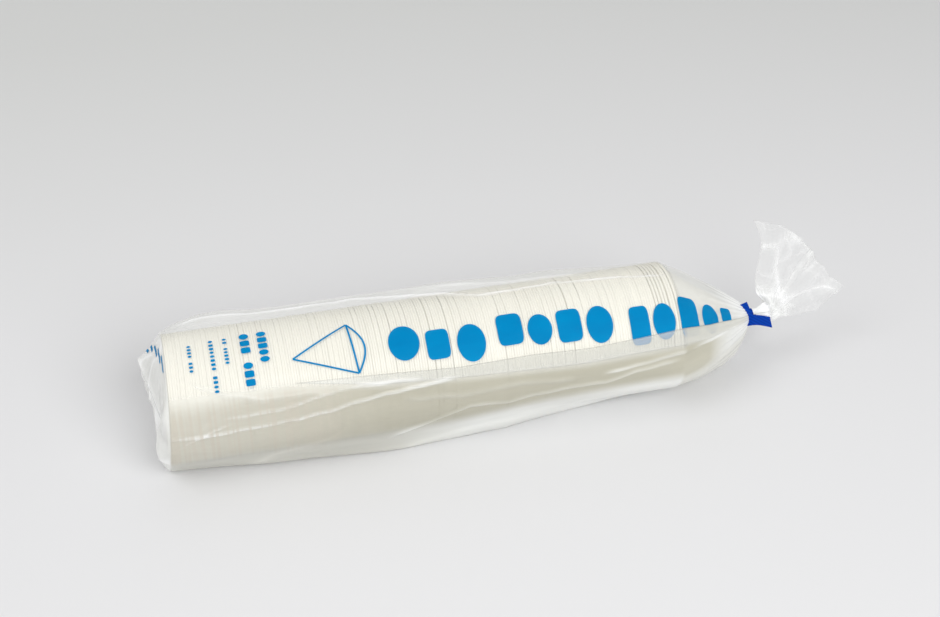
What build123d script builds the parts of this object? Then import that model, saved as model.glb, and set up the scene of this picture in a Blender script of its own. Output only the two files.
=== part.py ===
from build123d import *
import os
from math import atan2, ceil, cos, pi, radians, sin, sqrt, tan

# A bagged stack of cone paper cups, lying on its side. +X runs along the stack
# from the open mouths to the tied neck of the bag, and +Z is up. The origin is on
# the floor, halfway along the rims. Millimetres.

# Cups
cups = 200
rim_d = 85.2          # across the rolled rim
cup_depth = 61.5      # inside, from the mouth to the bottom of the cone
paper = 0.3
roll_d = 1.6          # the rim is rolled outwards into a round bead
mouth_step = 1.25     # from the mouth's edge out to the rim
rim_pitch = 1.66      # from one rim to the next in the stack
roll_flats = 6        # flats round the bead's section
cups_per_ridge = 10   # the nested cups are one solid, with a ridge for every few rims
ridge_step = 0.8      # how far each ridge stands over the next
ridge_edge = 0.4      # the back of a ridge slopes a little
stack_flats = 44      # flats round the nested cups

# Bag
film = 0.5            # a nominal wall: the real film is about a tenth of this
film_gap = 0.4        # between the rims and the film
facets = 32           # flats round the film
seam_reach = 10.0     # from the end cup's rim to the sealed seam
seam_flange = 1.5
seam_height = 48.0
seam_skew = 0.13      # the seam runs closer to the cups at the front
seam_half_gap = 1.3
foot = 35.0           # the widest half of the film that lies on the floor
slack = 9.0           # how far the loose film stands off the rims at the top
fold = 3.0            # how far the long fold stands out at the front
neck_d = 9.0          # the gathered film under the tie
neck_length = 13.0
neck_height = 40.0
gather = 0.06         # the gathers near the neck, as a share of the film's radius
tip_to_neck = 4.0
ridge_angle = 125.0   # the slack along the top, seen from the front edge
ridge_spread = 50.0
pleat_angle = 30.0    # the long fold along the front

# Tail: the free end of the bag beyond the tie, fanned out in pleats
tail_turn = 44.5      # the fan's middle, turned up from the stack's axis
tail_spread = 52.5    # from its middle to either edge
tail_lean = 37.0      # the fan leans back from the upright
tail_root = 3.4       # half its width where it leaves the neck
tail_root_layers = 5.0
tail_puff = 40.0      # beside the tie the film puffs out past the fan's upper edge
tail_layers = 1.2     # its thickness further out, several layers of film
tail_curl = 8.0       # the whole fan bows a little
tail_steps = [0.3, 0.62, 1.0]
tail_pleats = [       # from the upper edge down: length of each fold, and how far it stands out
    (64.0, 1.5),
    (61.5, -3.0),
    (60.0, 4.5),
    (57.5, -2.5),
    (55.0, 3.5),
    (53.5, -5.0),
    (51.5, 2.5),
    (51.0, -3.0),
    (51.5, 5.0),
    (54.5, -3.5),
    (60.5, 2.0),
    (48.0, -4.0),
    (40.0, 1.0),
]

# Tie: a flat plastic ribbon
tie_width = 7.5
tie_place = 4.5       # its middle, from the neck's start
tie_thickness = 0.6
tie_gap = 0.6
tie_flats = 12        # the ribbon's folds round the neck
tie_long_end = 17.0
tie_short_end = 9.0
tie_short_width = 5.6
tie_short_turn = 123.0
tie_drop = 5.0        # the ends hang below the neck's middle
tie_knot_rise = 3.2   # the pinched knot holds the ends clear of the gathered film
tie_view_turn = 13.0  # the ends lie in a plane turned and tipped to face the front
tie_view_tip = 50.0

# Worked out from the sizes above
rim_r = rim_d / 2
roll_r = roll_d / 2
bead_r = rim_r - roll_r * cos(pi / roll_flats)
mouth_r = rim_r - mouth_step
half_angle = atan2(mouth_r, cup_depth)
wall_along = paper / sin(half_angle)
wall_across = paper / cos(half_angle)
bead_start = roll_r * (1 - sin(half_angle))   # where the wall's inside leaves the bead
bead_end = roll_r * (1 - sin(half_angle)) + roll_r * sin(half_angle)
rims_length = (cups - 1) * rim_pitch + roll_d
first_rim_x = -rims_length / 2
last_rim_x = rims_length / 2
tip_x = last_rim_x - roll_d + cup_depth + wall_along
film_r = rim_r + film_gap + film
axis_height = film_r
seam_x = first_rim_x - seam_reach
neck_x = tip_x + tip_to_neck
neck_r = neck_d / 2


def outside_radius(x):
    """Outside radius of a cup's cone, x from its mouth."""
    return mouth_r + wall_across - x * tan(half_angle)


def cup(mouth_x):
    """One cup: a straight wall that runs into the bead of its rolled rim, turned about the axis."""
    wall = Polyline(
        (mouth_x + bead_start, mouth_r - bead_start * tan(half_angle)),
        (mouth_x + cup_depth, 0),
        (mouth_x + cup_depth + wall_along, 0),
        (mouth_x + bead_end, outside_radius(bead_end)),
        (mouth_x + roll_r, bead_r),
        close=True,
    )
    bead = RegularPolygon(roll_r, roll_flats)
    section = make_face(wall) + Pos(mouth_x + roll_r, bead_r) * bead
    return Pos(0, 0, axis_height) * revolve(section, Axis.X)


def flats(x, radius):
    """A ring round the stack's axis, in flats."""
    corners = []
    for k in range(stack_flats):
        turn = radians(k * 360 / stack_flats)
        corners.append((x, radius * cos(turn), axis_height + radius * sin(turn)))
    return Wire.make_polygon(corners, close=True)


def nested_cups():
    """The cups behind the end cup as one solid, with their rims as ridges, hollow at the mouth."""
    start = first_rim_x + rim_pitch
    ridges = ceil((cups - 1) / cups_per_ridge)
    ridge = (last_rim_x - start) / ridges
    low_r = rim_r - ridge_step
    rings = [flats(start, low_r)]
    for i in range(ridges):
        right = start + (i + 1) * ridge
        rings.append(flats(right - ridge_edge, rim_r))
        if i < ridges - 1:
            rings.append(flats(right, low_r))
    rings.append(flats(last_rim_x, outside_radius(roll_d)))
    rings.append(Vertex(last_rim_x - roll_d + cup_depth + wall_along, 0, axis_height))
    hollow = [flats(start, mouth_r), Vertex(start + cup_depth, 0, axis_height)]
    return Solid.make_loft(rings, ruled=True) - Solid.make_loft(hollow, ruled=True)


# Bag: the film's sections. Each row holds the place, the shares of foot, slack and fold,
# and the scales of the upper half, the lower half and the width.
def film_stations():
    taper = neck_x - last_rim_x
    shrink = 1 - neck_r / film_r
    rows = [
        (seam_x, 0.6, 0, 0, 0.0, 0.0, 0.78),
        (seam_x + seam_flange, 0.6, 0.2, 0, 0.02, 0.02, 0.84),
        (seam_x + 0.35 * seam_reach, 0.6, 0.4, 0, 0.42, 0.50, 0.95),
        (seam_x + 0.65 * seam_reach, 0.6, 0.6, 0, 0.80, 0.88, 1),
        (first_rim_x, 0.65, 0.8, 0, 1, 1, 1),
        (first_rim_x + 0.13 * rims_length, 0.8, 1, 0, 1, 1, 1),
        (first_rim_x + 0.40 * rims_length, 1, 0.65, 0.4, 1, 1, 1),
        (first_rim_x + 0.60 * rims_length, 0.9, 0.7, 0.8, 1, 1, 1),
        (first_rim_x + 0.75 * rims_length, 0.6, 0.4, 1, 1, 1, 1),
        (last_rim_x, 0.4, 0, 1, 1, 1, 1),
    ]
    for share, flat, low, wide in (
        (0.36, 0.35, 1.0, 0.80),
        (0.68, 0.25, 0.97, 0.52),
        (0.86, 0.20, 0.82, 0.33),
        (0.95, 0.15, 0.50, 0.21),
        (1.00, 0.12, 1 - shrink, 1 - shrink),
    ):
        rows.append((last_rim_x + share * taper, flat, 0, 1 - share, 1 - shrink * share, low, wide))
    rows.append((neck_x + neck_length, *rows[-1][1:]))
    return rows


def gathered(x):
    """How deep the gathers are at a station: none on the rims, deepest near the neck."""
    share = (x - last_rim_x) / (neck_x - last_rim_x)
    return gather * share if 0.5 < share < 0.99 else 0


def hug_radius(angle, flat, loose, folded):
    """Distance from the axis to the film: round the rims, down to the floor, flat on it."""
    away = abs((angle - 270 + 180) % 360 - 180)
    corner = atan2(flat * foot, axis_height)
    lift = 2 * corner
    if radians(away) <= corner:
        r = axis_height / cos(radians(away))
    elif radians(away) <= lift:
        r = film_r / cos(lift - radians(away))
    else:
        r = film_r
    off = (angle - ridge_angle) / ridge_spread
    if abs(off) < 1:
        r += loose * slack * cos(off * radians(90)) ** 2
    if abs(angle - pleat_angle) < 180 / facets:
        r += folded * fold
    return r


def film_ring(row):
    """The film's outline at one station, as points (y, z) from the front round over the top."""
    x, flat, loose, folded, high, low, wide = row
    seam = x < first_rim_x
    centre = seam_height if seam else (axis_height if x <= last_rim_x else neck_height)
    points = []
    for k in range(facets):
        angle = k * 360 / facets
        r = hug_radius(angle, flat, loose, folded) * (1 - gathered(x) * (k % 2))
        y = -r * cos(radians(angle)) * wide
        z = axis_height + r * sin(radians(angle))
        rise = z - centre
        z = centre + rise * (high if rise > 0 else low)
        if seam:
            z += seam_half_gap * sin(radians(angle)) * (1 - high)
        points.append((y, z))
    return points


def shrink_ring(points, by):
    """Move each point of a ring inwards by the film's wall."""
    out = []
    count = len(points)
    for k, (y, z) in enumerate(points):
        y0, z0 = points[k - 1]
        y1, z1 = points[(k + 1) % count]
        dy, dz = y1 - y0, z1 - z0
        length = sqrt(dy * dy + dz * dz)
        out.append((y + by * dz / length, z - by * dy / length))
    return out


def placed(row, points):
    """The points of a station's ring in space. The rings towards the seam are turned a little."""
    x = row[0]
    skew = seam_skew * min(1, max(0, (first_rim_x - x) / seam_reach))
    return [Vector(x - skew * y, y, z) for y, z in points]


def folded_flat(a, b, c, d):
    """A flat with four corners, folded along its shorter diagonal into two triangles."""
    if (a - c).length > (b - d).length:
        a, b, c, d = b, c, d, a
    return [Face(Wire.make_polygon(corners, close=True)) for corners in ((a, b, c), (a, c, d))]


def skin(rings, pleated_end=False):
    """A closed solid through rings of points."""
    faces = [Face(Wire.make_polygon(rings[0], close=True))]
    for near, far in zip(rings, rings[1:]):
        for k in range(len(near)):
            faces += folded_flat(near[k - 1], near[k], far[k], far[k - 1])
    end = rings[-1]
    if pleated_end:
        for k in range(len(end) // 2 - 1):
            faces += folded_flat(end[k], end[k + 1], end[-2 - k], end[-1 - k])
    else:
        faces.append(Face(Wire.make_polygon(end, close=True)))
    return Solid(Shell(faces))


def sleeve():
    """The film round the cups, from the sealed seam to the neck, open inside."""
    rows = film_stations()
    outer = skin([placed(row, film_ring(row)) for row in rows])
    inner = skin([placed(row, shrink_ring(film_ring(row), film)) for row in rows[1:-2]])
    return outer - inner


def fan_ring(step, upward, facing):
    """A zigzag strip across the fan at a share of its length, as a closed ring of points."""
    turn = radians(tail_turn)
    across = upward * cos(turn) - Vector(sin(turn), 0, 0)
    start = Vector(neck_x + neck_length, 0, neck_height)
    last = len(tail_pleats) - 1
    top, bottom = [], []
    for i, (length, rise) in enumerate(tail_pleats):
        side = 1 - 2 * i / last
        swing = turn + radians(tail_spread) * side
        swing += radians(tail_puff) * max(0, side) ** 2 * (1 - step) ** 2
        way = Vector(cos(swing), 0, 0) + upward * sin(swing)
        bow = tail_curl * sin(2.2 * side + 0.6) * step * step
        spot = start + across * (tail_root * side * (1 - step)) + way * (length * step)
        spot += facing * (rise * step + bow)
        half = (tail_layers if step else tail_root_layers) / 2
        top.append(spot + facing * half)
        bottom.append(spot - facing * half)
    return top + bottom[::-1]


def tail():
    """The free end of the bag, fanned out in pleats from the neck."""
    lean = radians(tail_lean)
    upward = Vector(0, sin(lean), cos(lean))
    facing = Vector(0, -cos(lean), sin(lean))
    return skin([fan_ring(step, upward, facing) for step in (0, *tail_steps)], pleated_end=True)


def bag():
    return sleeve() + tail()


def ribbon_loop(radius, x0, x1):
    """A prism along the neck: the ribbon folds round it in flats."""
    ring = Plane(origin=(x0, 0, neck_height), z_dir=(1, 0, 0)) * RegularPolygon(radius, tie_flats, major_radius=False)
    return extrude(ring, amount=x1 - x0)


def tie():
    """A ribbon round the neck, with its two ends lying over the front of it."""
    middle = neck_x + tie_place
    inside = neck_r + tie_gap
    outside = inside + tie_thickness
    loop = ribbon_loop(outside, middle - tie_width / 2, middle + tie_width / 2)
    loop -= ribbon_loop(inside, middle - tie_width, middle + tie_width)
    turn, tip = radians(tie_view_turn), radians(tie_view_tip)
    right = Vector(cos(turn), -sin(turn), 0)
    facing = Vector(-sin(turn) * sin(tip), -cos(turn) * sin(tip), cos(tip))
    base = Vector(middle, 0, neck_height) + facing * (outside - tie_thickness / 3)
    knot = extrude(
        Plane(origin=base, x_dir=right, z_dir=facing) * Pos(0, -tie_drop / 3) * Rectangle(0.5 * tie_width, tie_drop),
        amount=tie_thickness + tie_knot_rise,
        dir=facing,
    )
    front = Plane(origin=base + facing * tie_knot_rise, x_dir=right, z_dir=facing)
    long_end = Pos(tie_long_end / 2 - tie_width / 2, -tie_drop) * Rectangle(tie_long_end, tie_width)
    short_end = Pos(0, -tie_drop / 3) * Rot(0, 0, tie_short_turn)
    short_end *= Pos(tie_short_end / 2, 0) * Rectangle(tie_short_end, tie_short_width)
    ends = extrude(front * (long_end + short_end), amount=tie_thickness, dir=facing)
    return loop + knot + ends


nodes = {
    "end_cup": cup(first_rim_x),
    "cup_stack": nested_cups(),
    "bag": bag(),
    "tie": tie(),
}

os.makedirs("parts", exist_ok=True)
for name, shape in nodes.items():
    export_step(shape, f"parts/{name}.step")
    print(name, round(shape.volume), shape.bounding_box())
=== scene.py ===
import math
import random
import bpy
import numpy as np
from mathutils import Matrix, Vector, noise


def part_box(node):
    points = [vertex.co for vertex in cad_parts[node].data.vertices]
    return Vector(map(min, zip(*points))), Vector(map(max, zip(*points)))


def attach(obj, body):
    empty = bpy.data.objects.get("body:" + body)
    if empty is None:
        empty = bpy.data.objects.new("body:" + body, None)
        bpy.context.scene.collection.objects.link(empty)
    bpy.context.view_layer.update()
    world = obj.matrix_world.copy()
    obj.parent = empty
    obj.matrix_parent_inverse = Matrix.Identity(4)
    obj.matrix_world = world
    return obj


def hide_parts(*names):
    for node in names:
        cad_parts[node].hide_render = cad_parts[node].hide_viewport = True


# A nested stack of cone paper cups in a printed film sleeve, lying on its side.
# Metres, +X from the open mouths to the tied neck, +Z up. Angles round the stack
# are in degrees, start at the front (-Y) and go up over the top.

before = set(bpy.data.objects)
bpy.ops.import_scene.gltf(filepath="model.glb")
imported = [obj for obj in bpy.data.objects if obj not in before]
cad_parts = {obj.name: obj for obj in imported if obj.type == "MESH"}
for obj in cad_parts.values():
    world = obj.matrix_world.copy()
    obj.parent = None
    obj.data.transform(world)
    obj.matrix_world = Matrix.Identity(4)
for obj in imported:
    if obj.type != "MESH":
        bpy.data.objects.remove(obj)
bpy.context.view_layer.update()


class Wire:  # a node socket that takes part in plain arithmetic
    def __init__(self, tree, socket):
        self.tree = tree
        self.socket = socket

    def maths(self, operation, *values, clamp=False):
        node = self.tree.nodes.new("ShaderNodeMath")
        node.operation = operation
        node.use_clamp = clamp
        for port, value in zip(node.inputs, values):
            plug(self.tree, port, value)
        return Wire(self.tree, node.outputs[0])

    def __add__(self, other):
        return self.maths("ADD", self, other)

    def __sub__(self, other):
        return self.maths("SUBTRACT", self, other)

    def __mul__(self, other):
        return self.maths("MULTIPLY", self, other)

    def clamped(self):
        return self.maths("ADD", self, 0.0, clamp=True)


def plug(tree, port, value):
    if isinstance(value, Wire):
        tree.links.new(value.socket, port)
    else:
        port.default_value = value


class Finish:  # one material and its nodes
    def __init__(self, name, **fixed):
        self.material = bpy.data.materials.new(name)
        self.material.use_nodes = True
        self.tree = self.material.node_tree
        self.surface = next(n for n in self.tree.nodes if n.type == "BSDF_PRINCIPLED")
        self.set(**fixed)

    def set(self, **values):
        for name, value in values.items():
            plug(self.tree, self.surface.inputs[name.replace("_", " ")], value)

    def node(self, kind, settings=None, out=0, **sockets):
        # a socket goes by its label, or by its number after an underscore
        made = self.tree.nodes.new("ShaderNode" + kind)
        for name, value in (settings or {}).items():
            setattr(made, name, value)
        for name, value in sockets.items():
            key = int(name[1:]) if name[0] == "_" else name.replace("_", " ")
            plug(self.tree, made.inputs[key], value)
        return Wire(self.tree, made.outputs[out])

    def place(self):
        return self.node("TexCoord", out="Object")

    def attribute(self, name):
        return self.node("Attribute", {"attribute_name": name}, out="Fac")

    def noise(self, scale, stretch=(1, 1, 1), **sockets):
        spot = self.node("Mapping", Vector=self.place(), Scale=stretch)
        return self.node("TexNoise", Vector=spot, Scale=scale, **sockets)

    def mix(self, share, first, second):
        return self.node("Mix", {"data_type": "RGBA"}, out=2, _0=share, _6=first, _7=second)

    def bump(self, height, strength, distance):
        self.set(Normal=self.node("Bump", Height=height, Strength=strength, Distance=distance))


def clear():
    bpy.ops.object.select_all(action="DESELECT")


def joined(name, *objects):
    clear()
    for obj in objects:
        obj.select_set(True)
    bpy.context.view_layer.objects.active = objects[0]
    bpy.ops.object.join()
    objects[0].name = name
    return objects[0]


def keep(obj, finish, slot, *replaced):
    obj.data.materials.clear()
    obj.data.materials.append(finish.material)
    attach(obj, "root")
    if replaced:
        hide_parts(*replaced)


def meshObject(name, points, faces):
    mesh = bpy.data.meshes.new(name)
    mesh.from_pydata([tuple(p) for p in points], [], faces)
    mesh.update()
    obj = bpy.data.objects.new(name, mesh)
    bpy.context.scene.collection.objects.link(obj)
    mesh.polygons.foreach_set("use_smooth", [True] * len(mesh.polygons))
    return obj


def smoothStep(low, high, value):
    share = np.clip((value - low) / (high - low), 0, 1)
    return share * share * (3 - 2 * share)


def ringFaces(steps, count):
    # the faces between rings of as many points each
    faces = []
    for i in range(steps):
        for k in range(count):
            n = (k + 1) % count
            faces.append((i * count + k, (i + 1) * count + k, (i + 1) * count + n, i * count + n))
    return faces


def along(x, table, column=1):
    # the value at x in a table whose rows each start with a place
    return np.interp(x, [row[0] for row in table], [row[column] for row in table])


# Places that the pieces share
axis = 0.0435
neckStart = 0.23041
neckEnd = neckStart + 0.013
neckRadius = 0.0034  # thinner than the solid's
neckHeight = 0.040

cupLook = {
    "count": 200, "pitch": 0.00166, "rim": 0.0426, "roll": 0.0008, "mouth": 0.04135, "depth": 0.0615,
    "wall": 0.0003, "coneSegments": 96, "beadSegments": 128, "rimSegments": 64,
    # a rim's inner side runs down into the cone
    "bead": 1.38, "tuckFrom": 1.3, "tuck": 0.0011, "tuckRun": 1.2,
    "spread": 0.00013, "wander": 0.0003, "tilt": 0.0035, "settle": 0.0002,
    "lean": 0.080, "leaning": 26,  # the first cups lean, their tops towards the tie
    "loose": 8, "looseStep": 0.0005, "looseLean": 0.003,  # the last cups stand a little apart
    "bodyGap": 0.0006, "tipGap": 0.002, "hub": 0.001,
    # how full each bead is along the stack, and the cups that stand off the next one
    "full": [(0, 1.0), (60, 0.93), (80, 0.86), (110, 0.86), (125, 0.98), (135, 0.91), (147, 0.91), (156, 1.0),
             (199, 1.02)],
    "gaps": {31: 0.0004, 52: 0.0003, 88: 0.0004, 103: 0.0005, 110: 0.0004, 121: 0.0003, 158: 0.0004,
             183: 0.0004},
}
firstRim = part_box("end_cup")[0][0]
lastRim = firstRim + (cupLook["count"] - 1) * cupLook["pitch"] + 2 * cupLook["roll"]
lastRim += (cupLook["loose"] - 1) * cupLook["looseStep"]


def leanAt(i):
    return cupLook["lean"] * max(0.0, 1 - i / cupLook["leaning"])


# Paper
paperLook = {
    "pale": (0.885, 0.865, 0.78, 1), "warm": (0.855, 0.83, 0.735, 1), "fibres": 900, "clouds": 28,
    "bump": 0.1, "bumpDepth": 0.0002,
}


def paperFinish():
    look = paperLook
    paper = Finish("waxedPaper", Roughness=0.5, Specular_IOR_Level=0.35)
    fibres = paper.noise(look["fibres"], Detail=4.0)
    clouds = paper.noise(look["clouds"], Detail=3.0)
    paper.set(Base_Color=paper.mix(clouds, look["pale"], look["warm"]))
    paper.bump(fibres, look["bump"], look["bumpDepth"])
    return paper


def rolledRim(around, across, place):
    look = cupLook
    clear()
    bpy.ops.mesh.primitive_torus_add(
        major_segments=around, minor_segments=across, major_radius=look["rim"] - look["roll"],
        minor_radius=look["roll"], location=place, rotation=(0, math.pi / 2, 0),
    )
    bpy.ops.object.transform_apply(location=True, rotation=True, scale=False)
    return bpy.context.object


def rimModel():
    # the points and faces of one rolled rim, for all the cups behind the first
    look = cupLook
    rim = rolledRim(look["rimSegments"], 6, (0, 0, 0))
    spots = np.array([v.co for v in rim.data.vertices])
    reach = np.hypot(spots[:, 1], spots[:, 2])
    inner = reach < look["rim"] - look["roll"] * look["tuckFrom"]
    shrink = np.where(inner, (look["mouth"] - look["tuck"]) / reach, 1.0)
    spots[:, 1:] *= shrink[:, None]
    spots[:, 0] = spots[:, 0] * look["bead"] + np.where(inner, look["roll"] * look["tuckRun"], 0)
    faces = [tuple(p.vertices) for p in rim.data.polygons]
    bpy.data.objects.remove(rim)
    return spots, faces


def cupRims():
    look = cupLook
    spots, faces = rimModel()
    allSpots, allFaces = [], []
    pushed = 0.0
    for i in range(1, look["count"]):
        late = max(0, i - (look["count"] - look["loose"]))
        pushed += look["looseStep"] if late else 0
        x = firstRim + i * look["pitch"] + look["roll"] + random.uniform(-1, 1) * look["spread"] + pushed
        tilt = leanAt(i) + random.uniform(-1, 1) * look["tilt"] + late * look["looseLean"]
        turn = random.uniform(-1, 1) * look["tilt"]
        size = 1 - random.random() * look["wander"] / look["rim"]
        height = axis - random.random() * look["settle"]
        ring = spots * np.array([along(i, look["full"]), size, size])
        ring[:, 0] += ring[:, 2] * tilt + ring[:, 1] * turn
        ring += np.array([x + look["gaps"].get(i, 0), 0, height])
        allFaces += [tuple((i - 1) * len(spots) + k for k in face) for face in faces]
        allSpots.append(ring)
    return meshObject("cupRims", np.vstack(allSpots), allFaces)


def nestedBody():
    # the nested cups inside their rims: hollow at the mouth and a cone at the tip
    clear()
    look = cupLook
    start = firstRim + look["pitch"] + look["roll"]
    end = lastRim - look["roll"]
    bpy.ops.mesh.primitive_cylinder_add(
        vertices=look["coneSegments"], radius=look["mouth"] - look["bodyGap"], depth=end - start,
        end_fill_type="TRIFAN", location=((start + end) / 2, 0, axis), rotation=(0, math.pi / 2, 0),
    )
    body = bpy.context.object
    bpy.ops.object.transform_apply(location=True, rotation=True, scale=False)
    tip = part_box("cup_stack")[1][0]
    for v in body.data.vertices:
        if math.hypot(v.co.y, v.co.z - axis) < look["hub"]:
            v.co.x = start + look["depth"] - look["tipGap"] if v.co.x < 0 else tip
        elif v.co.x < 0:
            v.co.x += (v.co.z - axis) * look["lean"]
    return body


def endCup(paper):
    look = cupLook
    clear()
    bpy.ops.mesh.primitive_cone_add(
        vertices=look["coneSegments"], radius1=look["mouth"], radius2=0, depth=look["depth"],
        end_fill_type="NOTHING", rotation=(0, math.pi / 2, 0),
        location=(firstRim + look["depth"] / 2, 0, axis),
    )
    cone = bpy.context.object
    bpy.ops.object.transform_apply(location=True, rotation=True, scale=False)
    thick = cone.modifiers.new("wall", "SOLIDIFY")
    thick.thickness = look["wall"]
    thick.offset = 1
    bpy.ops.object.modifier_apply(modifier="wall")
    bead = rolledRim(look["beadSegments"], 16, (firstRim + look["roll"], 0, axis))
    cup = joined("endCup", cone, bead)
    for v in cup.data.vertices:
        v.co.x += (v.co.z - axis) * look["lean"]
    bpy.ops.object.shade_smooth_by_angle(angle=math.radians(40))
    keep(cup, paper, "paper", "end_cup")


# Film sleeve, worked out in sections along the stack
filmLook = {
    "radius": 0.0431, "capSteps": 32, "runSteps": 285, "neckSteps": 9, "tailSteps": 78,
    "belowFold": 74, "inFold": 10, "aboveFold": 154, "floorGap": 0.0002,
    # place and how far the film stands off the rims along the top
    "slack": [(-0.166, 0.0006), (-0.158, 0.0040), (-0.143, 0.0072), (-0.124, 0.0084), (-0.105, 0.0060),
              (-0.078, 0.0053), (-0.012, 0.0053), (0.022, 0.0064), (0.042, 0.0052), (0.069, 0.0037),
              (0.097, 0.0037), (0.124, 0.0020), (0.150, 0.0004), (0.166, 0)],
    "slackAngle": 130, "slackSpread": 48,
    # place and half the width of the flat foot
    "foot": [(-0.166, 0.022), (-0.1, 0.031), (-0.03, 0.035), (0.05, 0.031), (0.1, 0.022), (0.166, 0.014),
             (0.2, 0.012), (0.23, 0.004)],
    "footSteepest": 1.2,
    "raised": [(-0.166, 0.0040), (-0.08, 0.0036), (-0.01, 0)],  # the foot's front edge stands off the floor
    "raisedFrom": 0.1,
}

# The long fold at the front: place, upper angle and lower angle, which is the higher one before it starts
foldLook = {
    "angles": [(-0.166, 40, 42), (-0.09, 40, 41), (-0.06, 38.5, 34), (-0.031, 36.5, 27.5), (0.019, 32.5, 23),
               (0.069, 33.5, 19.5), (0.105, 31.5, 18), (0.140, 33.6, 19.8), (0.181, 37, 21), (0.230, 44, 26)],
    "full": 10,  # a fold of this many degrees has its whole thickness
    "lift": 0.0010, "inner": 0.3, "riseFrom": 26, "riseTo": 2, "fallTo": 6,
    "haze": 0.12, "hazeFrom": 6, "hazeTo": 5, "edgeHaze": 0.16, "edge": 2.2,
    "innerHaze": 0.10, "upperHaze": 0.04,
}

# The film past the open end: angle and how far it bulges, and the seam where it is pressed shut
capLook = {
    "bulge": [(0, 0.0085), (25, 0.0070), (45, 0.0040), (90, 0.0015), (130, 0.0010), (180, 0.0020),
              (230, 0.0015), (270, 0.0030), (315, 0.0080), (338, 0.0120), (360, 0.0085)],
    "seam": [(-0.026, 0.0040), (0.0, 0.0085), (0.020, 0.0122), (0.033, 0.0142)],
    "seamHeight": 0.053, "seamShrink": 0.78, "seamWave": 0.0010,
    "inward": 1.5, "bulgeRun": 1.25, "bulgePower": 0.8,
    "wave": 0.0020, "waveLevel": 0.4, "ripple": 0.0006,
    "flattened": 0.75, "flatFrom": (55, 75), "flatTo": (155, 140),
    "swayFrom": (0, 0.25), "swayTo": (1.0, 0.9), "pressed": (0.86, 1.0),
    "haze": 0.70, "creaseHaze": 0.22, "seamHaze": 0.20, "tone": 0.60, "creaseHighlight": 0.30,
}

# The shoulder behind the last rim, as shares of the full height above and below and of the full width
shoulderLook = {
    "share": [0, 0.36, 0.68, 0.86, 0.95, 1.0],
    "high": [1, 0.68, 0.39, 0.23, 0.15], "low": [1, 1, 0.97, 0.82, 0.50],
    "wide": [1, 0.80, 0.52, 0.33, 0.21],
    "wave": 0.0007, "waveEnd": 0.6, "waveLoss": 0.7, "creaseLoss": 0.8,
    "gathers": 30, "gatherWander": 0.5, "gatherScale": 8, "gatherDepth": 0.0006,
    "gatherFrom": (0.2, 0.8), "gatherTo": (0.8, 1), "gatherLoss": 0.5,
}

# Noise for the film's waves: size, stretch and where it starts
waveLook = {
    "wide": (22, (0.35, 1, 1), 1.7), "fine": (60, (0.3, 1, 1), 5.3),
    "cap": (40, (1, 1, 1), 3.1), "capFine": (110, (1, 1, 1), 8.8), "neck": (160, (1, 1, 1), 6.1),
    "tail": (30, (1, 1, 1), 9.2), "tailFine": (85, (1, 1, 1), 2.6),
    "looseDepth": 0.0007, "frontDepth": 0.0005, "wideShare": 0.8, "fineShare": 0.35, "deepest": -0.0001,
}

# How milky the film is, from place to place
milkLook = {
    "base": 0.19, "least": 0.05, "most": 0.92,
    "looseFrom": 0.0434, "looseRun": 0.004,  # film farther from the axis than this hangs loose
    # the milky front: how gently it ends below the fold, from place to place, and the angles where it starts
    "frontSoft": [(-0.166, 24), (-0.05, 6)], "frontFrom": (-80, -55),
    "veil": [(-0.166, 0.34), (-0.12, 0.34), (-0.06, 0.36), (0.0, 0.48), (0.15, 0.62), (0.19, 0.70)],
    "veilLevel": 0.9, "veilWave": 0.2,
    "top": 0.18, "topFrom": (96, 116), "topTo": (140, 165), "topRun": [(-0.166, 1), (0.12, 1), (0.166, 0.6)],
    "crease": 0.12, "creasePower": 9,
    "shoulder": 0.36, "shoulderFrom": (0.0, 0.06), "shoulderFront": 0.7, "neck": 0.28, "neckFrom": (0.4, 1),
    "gathers": 0.12, "gatherLevel": 0.2,
    "skirt": 0.16, "skirtTop": [(-0.15, -20), (0.02, -20), (0.08, -10), (0.15, -6)], "skirtSoft": 16,
    "skirtRun": [(-0.15, 0.3), (-0.03, 0.6), (0.03, 1)],
    # where faint painted lines of the shaded rims go on the milky front
    "ribsRun": [(-0.166, 1), (-0.09, 0.8), (-0.03, 0)], "ribsFrom": (-42, -20),
}

# How light the film's colour is, where 0 is the colour of what lies behind it; low values paint shade and
# high ones paint highlights
toneLook = {
    # front paints shade below the fold, the shaded cups seen through the film
    "base": 0.70, "top": 0.06, "front": 0.70, "frontRun": [(-0.15, 0.72), (-0.03, 1)],
    "frontEnd": (0.1, 0.75),
    # the value for the creases is a painted highlight; haze, shoulder, shoulderFront and skirt paint shade in
    # the fold, past the last rim and low down by the floor
    "paintedHighlight": 1.2, "haze": 3.2, "shoulder": 0.10, "shoulderFront": 0.14, "skirt": 0.22,
}
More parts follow.
